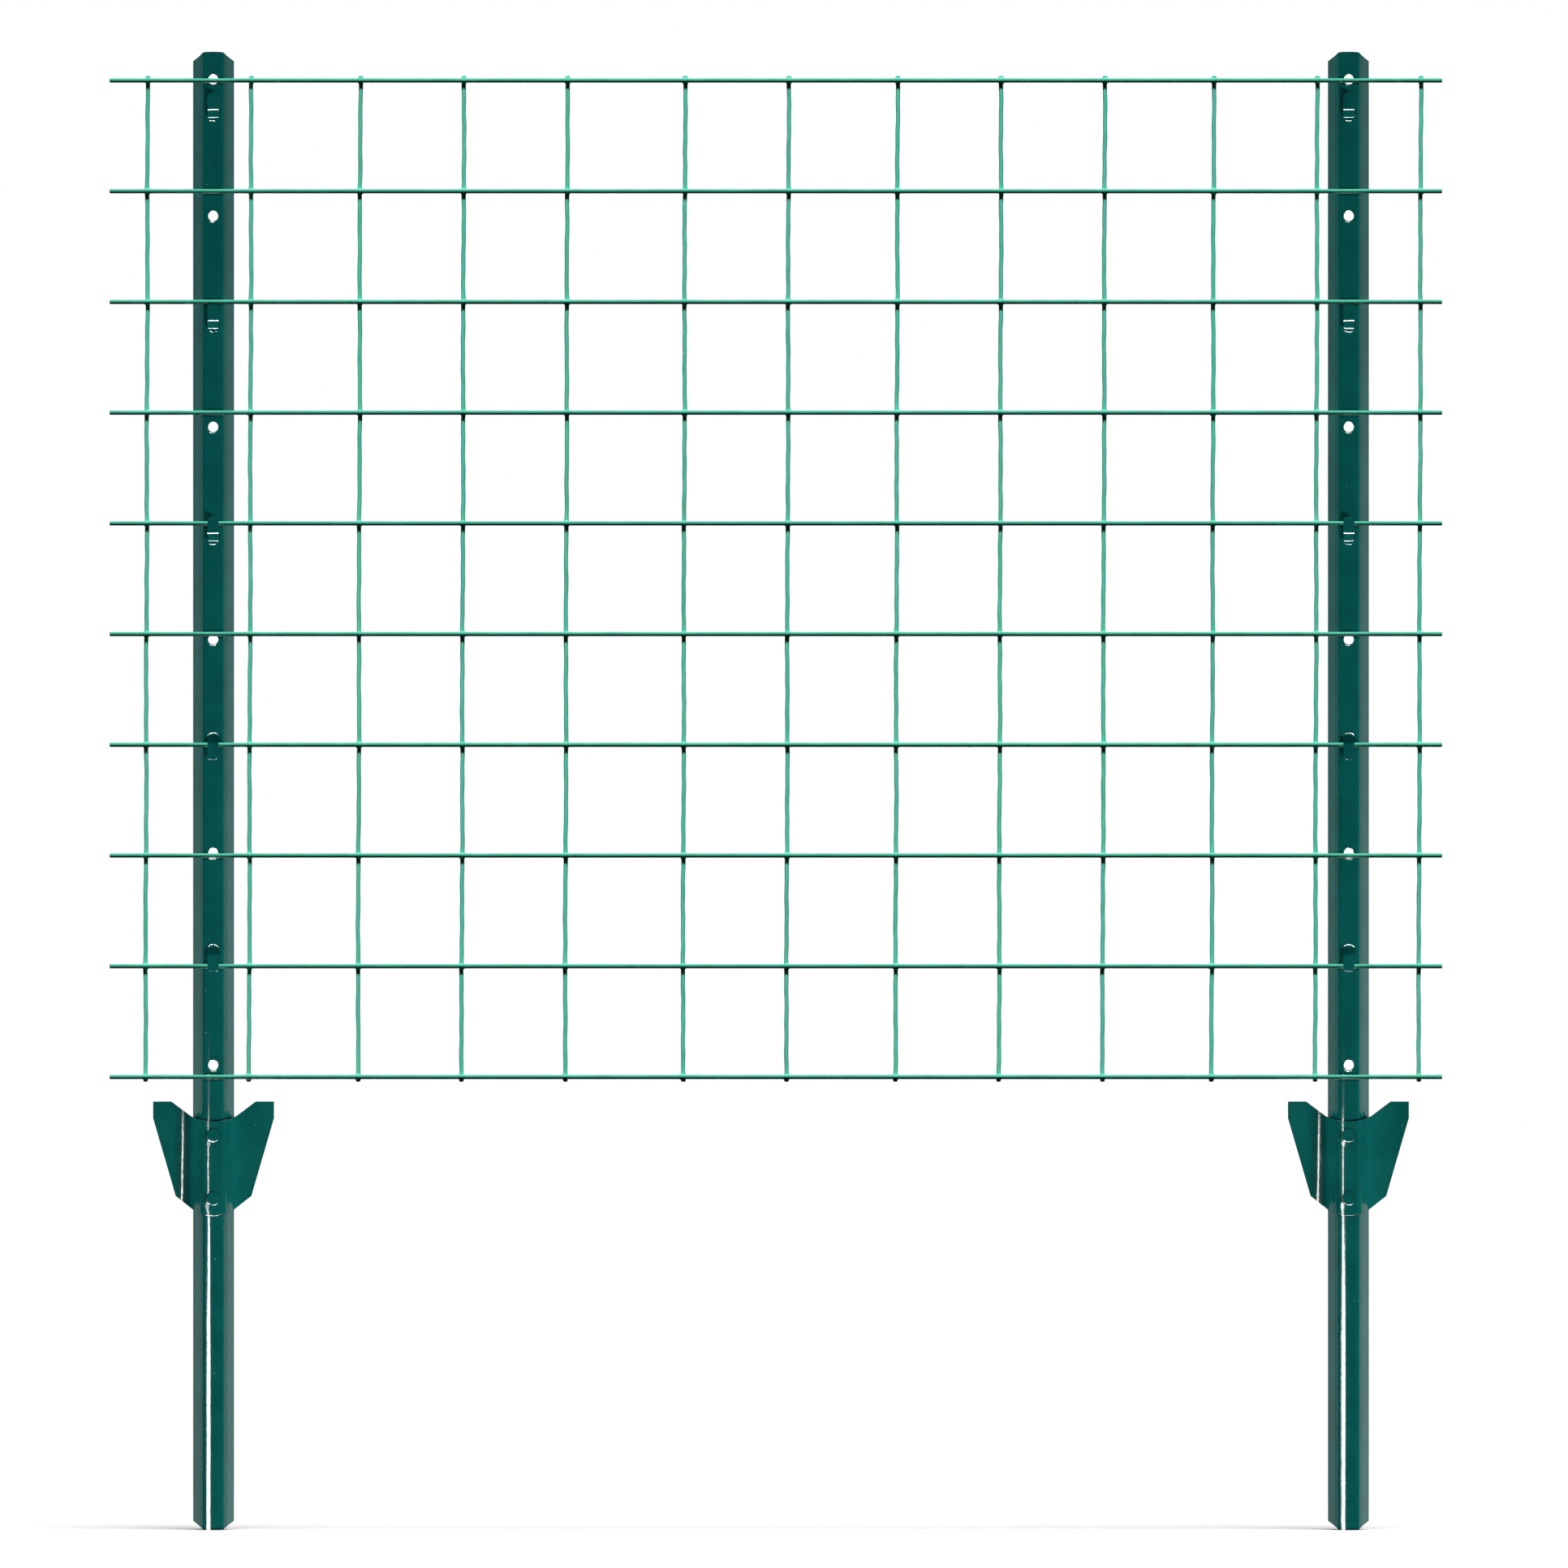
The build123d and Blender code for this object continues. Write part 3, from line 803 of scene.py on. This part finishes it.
def cut_steel(name):
    """Sheared wire core: dull zinc grey with smeared shear marks."""
    material, tree, shader = new_material(name)
    place = add_node(tree, "ShaderNodeTexCoord").outputs["Object"]
    smear = add_node(tree, "ShaderNodeMapping", {"Scale": (900, 900, 5200)}, {"Vector": place})
    marks = add_node(tree, "ShaderNodeTexNoise", {"Scale": 1.0, "Detail": 3},
                     {"Vector": smear.outputs[0]})
    colour = mix_colour(tree, marks.outputs[0], (0.20, 0.21, 0.21, 1), (0.52, 0.53, 0.52, 1))
    tree.links.new(colour, shader.inputs["Base Color"])
    shader.inputs["Metallic"].default_value = 1.0
    rough = add_node(tree, "ShaderNodeMapRange", {"To Min": 0.28, "To Max": 0.55},
                     {"Value": marks.outputs[0]})
    tree.links.new(rough.outputs[0], shader.inputs["Roughness"])
    bump = add_node(tree, "ShaderNodeBump", {"Strength": 0.6, "Distance": 0.05 * MM},
                    {"Height": marks.outputs[0]})
    tree.links.new(bump.outputs[0], shader.inputs["Normal"])
    return material


mint_pale, mint_dark = (0.130, 0.72, 0.51, 1), (0.090, 0.58, 0.40, 1)
line_vinyl = vinyl("line_wire_vinyl", (60, 3200, 3200), mint_pale, mint_dark)
stay_vinyl = vinyl("stay_wire_vinyl", (3200, 3200, 60), mint_pale, mint_dark)
core_steel = cut_steel("cut_core_steel")

# %% [markdown]
# ## Wires as surfaces
# A wire is a round section carried along a line. On a grid, one direction goes along the wire
# and the other goes round it. At each cut end the section shrinks in steps: the coat's rounded
# lip, the coat's cut face, then the steel core, which stands a little proud, down to a point.
# The whole grid is one array sum, with no loop over its points.

# %% Round section along a line
core_radius = 1.15 * MM
end_steps = np.array([  # distance in from the end, and share of the coat's radius
    (0.00, 0.00), (0.00, 0.50), (0.04, 0.60), (0.10, 0.64), (0.16, 0.66), (0.14, 0.80),
    (0.16, 0.90), (0.30, 0.98), (0.55, 1.00),
])
core_steps = 4  # how many of these bands are steel


def tube(name, centres, radii, side, up, sides, materials):
    """Point = centre + radius x (cos a x side + sin a x up), for a going once round.

    The first and the last section have radius 0 and become single points, the poles."""
    turn = np.linspace(0, 2 * np.pi, sides, endpoint=False)
    ring = np.outer(np.cos(turn), side) + np.outer(np.sin(turn), up)
    grid = centres[1:-1, None, :] + radii[1:-1, None, None] * ring[None, :, :]
    points = np.vstack([centres[:1], grid.reshape(-1, 3), centres[-1:]])
    rows = len(grid)
    row, column = np.meshgrid(np.arange(rows - 1), np.arange(sides), indexing="ij")
    following = (column + 1) % sides
    first = 1 + row * sides
    quads = np.stack([first + column, first + following,
                      first + sides + following, first + sides + column], -1).reshape(-1, 4)
    around, last = np.arange(sides), 1 + (rows - 1) * sides
    cap_low = np.stack([np.zeros(sides, int), 1 + (around + 1) % sides, 1 + around], -1)
    cap_high = np.stack([np.full(sides, len(points) - 1), last + around,
                         last + (around + 1) % sides], -1)
    mesh = bpy.data.meshes.new(name)
    mesh.from_pydata(points.tolist(), [], quads.tolist() + cap_low.tolist() + cap_high.tolist())
    bands = np.concatenate([np.repeat(np.arange(1, rows), sides), np.zeros(sides, int),
                            np.full(sides, rows)])
    steel = (bands < core_steps) | (bands > rows - core_steps)
    mesh.polygons.foreach_set("material_index", steel.astype(np.int32))
    mesh.polygons.foreach_set("use_smooth", np.ones(len(bands), bool))
    for material in materials:
        mesh.materials.append(material)
    mesh.update()
    piece = bpy.data.objects.new(name, mesh)
    scene.collection.objects.link(piece)
    return piece


def wire_stations(length, inner):
    """Distances along a wire, with the end steps at both ends, and radius shares there."""
    steps = end_steps[:, 0] * MM
    along = np.concatenate([steps, inner, length - steps[::-1]])
    shares = np.concatenate([end_steps[:, 1], np.ones(len(inner)), end_steps[::-1, 1]])
    return along, shares


# %% [markdown]
# ## Line wires
# The ten line wires lie against the posts and are dead straight, so a few stations along each
# are enough. The wall of the section has 24 sides, and smooth shading does the rest.

# %% Line wires
line_pieces = []
for name in line_names:
    low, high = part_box(name)
    length, radius = high.x - low.x, (high.z - low.z) / 2
    along, shares = wire_stations(length, np.linspace(0.02, length - 0.02, 12))
    centres = np.zeros((len(along), 3))
    centres[:, 0] = low.x + along
    centres[:, 1] = (low.y + high.y) / 2
    centres[:, 2] = (low.z + high.z) / 2
    piece = tube("coated_" + name, centres, radius * shares, (0, 1, 0), (0, 0, 1), 24,
                 (line_vinyl, core_steel))
    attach(piece, "root")
    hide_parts(name)
    groups["line_wires"].objects.link(piece)
    line_pieces.append(piece)
print(len(line_pieces), "line wires of", round(length, 4), "m")

# %% [markdown]
# ## Stay wires
# The upright wires were straightened from a coil and welded on, so they wander by a fraction
# of a millimetre and lean a little. The wander is a sum of a few sine waves with seeded lengths
# and phases. At each weld the coat was pushed up and gathers, so the section is fuller there.

# %% Stay wires
chance = np.random.default_rng(11)
weld_heights = np.array([node_middle(name).z for name in line_names])
stay_lean = 1.0 * MM  # to each side of its place, over the whole height
stay_pieces = []
for name in stay_names:
    low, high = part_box(name)
    length, radius = high.z - low.z, (high.x - low.x) / 2
    along, shares = wire_stations(length, np.arange(1.5 * MM, length - 1.0 * MM, 2.6 * MM))
    z = low.z + along
    lengths = chance.uniform((0.19, 0.055, 0.022), (0.30, 0.075, 0.034))
    phases = chance.uniform(0, 2 * np.pi, (2, 3))
    heights = np.array([0.22, 0.13, 0.12]) * MM
    waves = (heights * np.sin(2 * np.pi * z[:, None] / lengths + phases[0])).sum(1)
    lean = stay_lean * (2 * (z - low.z) / length - 1)
    to_weld = np.abs(z[:, None] - weld_heights).min(1)
    gather = 0.12 * np.exp(-(to_weld / (3.2 * MM)) ** 2)
    pinch = 0.025 * np.sin(2 * np.pi * z / lengths[2] * 0.83 + phases[1, 0])
    centres = np.zeros((len(along), 3))
    centres[:, 0] = (low.x + high.x) / 2 + lean + waves
    centres[:, 1] = (low.y + high.y) / 2
    centres[:, 2] = z
    piece = tube("coated_" + name, centres, radius * shares * (1 + gather + pinch - 0.02),
                 (1, 0, 0), (0, 1, 0), 18, (stay_vinyl, core_steel))
    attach(piece, "root")
    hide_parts(name)
    groups["stay_wires"].objects.link(piece)
    stay_pieces.append(piece)
print(len(stay_pieces), "stay wires of", round(length, 4), "m")

# %% [markdown]
# ## Weld webs
# Vinyl melts a little when the mesh is coated and fills the four corners of each crossing with
# a small web. One web is a flattened ball whose outline is a rounded square. All 130 are made
# at once: the shape's few points, plus the place of every crossing.

# %% Webs at the crossings
web_turn = np.linspace(0, 2 * np.pi, 16, endpoint=False)
web_rise = np.radians([-62, -30, 0, 30, 62])
web_reach = (2.35 + 0.85 * np.sin(2 * web_turn) ** 2) * MM
web_depth = 1.35 * MM
low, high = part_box(line_names[0])
line_y = (low.y + high.y) / 2
low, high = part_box(stay_names[0])
stay_y = (low.y + high.y) / 2
ring = np.cos(web_rise)[:, None] * web_reach[None, :]
shape = np.stack([ring * np.cos(web_turn), np.sin(web_rise)[:, None] * web_depth + 0 * ring,
                  ring * np.sin(web_turn)], -1).reshape(-1, 3)
poles = np.array([(0, -web_depth, 0), (0, web_depth, 0)])
one_web = np.vstack([shape, poles])
places = []
for piece, name in zip(stay_pieces, stay_names):
    low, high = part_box(name)
    lean = stay_lean * (2 * (weld_heights - low.z) / (high.z - low.z) - 1)
    middle = (low.x + high.x) / 2 + lean
    places.append(np.stack([middle, np.full(len(middle), (line_y + stay_y) / 2), weld_heights], -1))
places = np.vstack(places)
size = chance.uniform(0.92, 1.06, (len(places), 1, 1))
points = (places[:, None, :] + one_web[None] * size).reshape(-1, 3)
rows, count = len(web_rise), len(web_turn)
row, column = np.meshgrid(np.arange(rows - 1), np.arange(count), indexing="ij")
following = (column + 1) % count
quads = np.stack([row * count + column, (row + 1) * count + column,
                  (row + 1) * count + following, row * count + following], -1).reshape(-1, 4)
around = np.arange(count)
fan_front = np.stack([np.full(count, rows * count), around, (around + 1) % count], -1)
fan_back = np.stack([np.full(count, rows * count + 1), (rows - 1) * count + (around + 1) % count,
                     (rows - 1) * count + around], -1)
offsets = (np.arange(len(places)) * len(one_web))[:, None, None]
faces = ((quads[None] + offsets).reshape(-1, 4).tolist()
         + (fan_front[None] + offsets).reshape(-1, 3).tolist()
         + (fan_back[None] + offsets).reshape(-1, 3).tolist())
mesh = bpy.data.meshes.new("weld_webs")
mesh.from_pydata(points.tolist(), [], faces)
mesh.polygons.foreach_set("use_smooth", np.ones(len(faces), bool))
mesh.materials.append(stay_vinyl)
mesh.update()
webs = bpy.data.objects.new("weld_webs", mesh)
scene.collection.objects.link(webs)
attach(webs, "root")
groups["stay_wires"].objects.link(webs)
print(len(places), "weld webs,", len(faces), "faces")
